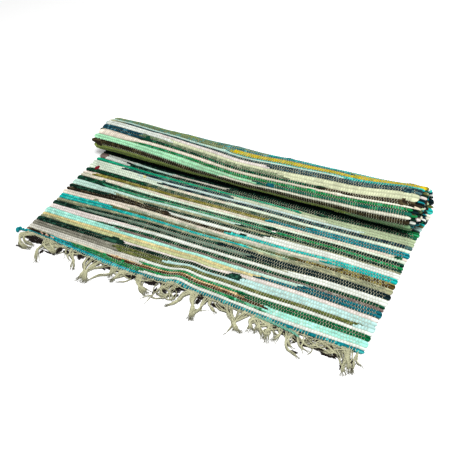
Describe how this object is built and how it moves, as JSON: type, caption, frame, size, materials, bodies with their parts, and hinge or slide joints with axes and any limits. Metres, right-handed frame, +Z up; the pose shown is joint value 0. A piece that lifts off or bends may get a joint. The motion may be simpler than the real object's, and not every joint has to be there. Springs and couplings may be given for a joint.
{
  "type": "rag rug",
  "caption": "Small hand-woven rag rug with irregular weft stripes, lying half unrolled: the near part is flat and the far part is rolled up on top of it. Tangled warp fringe along the flat end.",
  "frame": {"origin": "middle of the bounding box, on the floor under the rug", "axes": "+X across the rug along the weft, +Y along the warp from the fringed end to the roll, +Z up"},
  "size_m": [0.6152, 0.3526, 0.063],
  "materials": {
    "rug": "matte",
    "fringe": "matte"
  },
  "bodies": {
    "root": {"rug": "rug", "fringe": "fringe"}
  },
  "joints": []
}
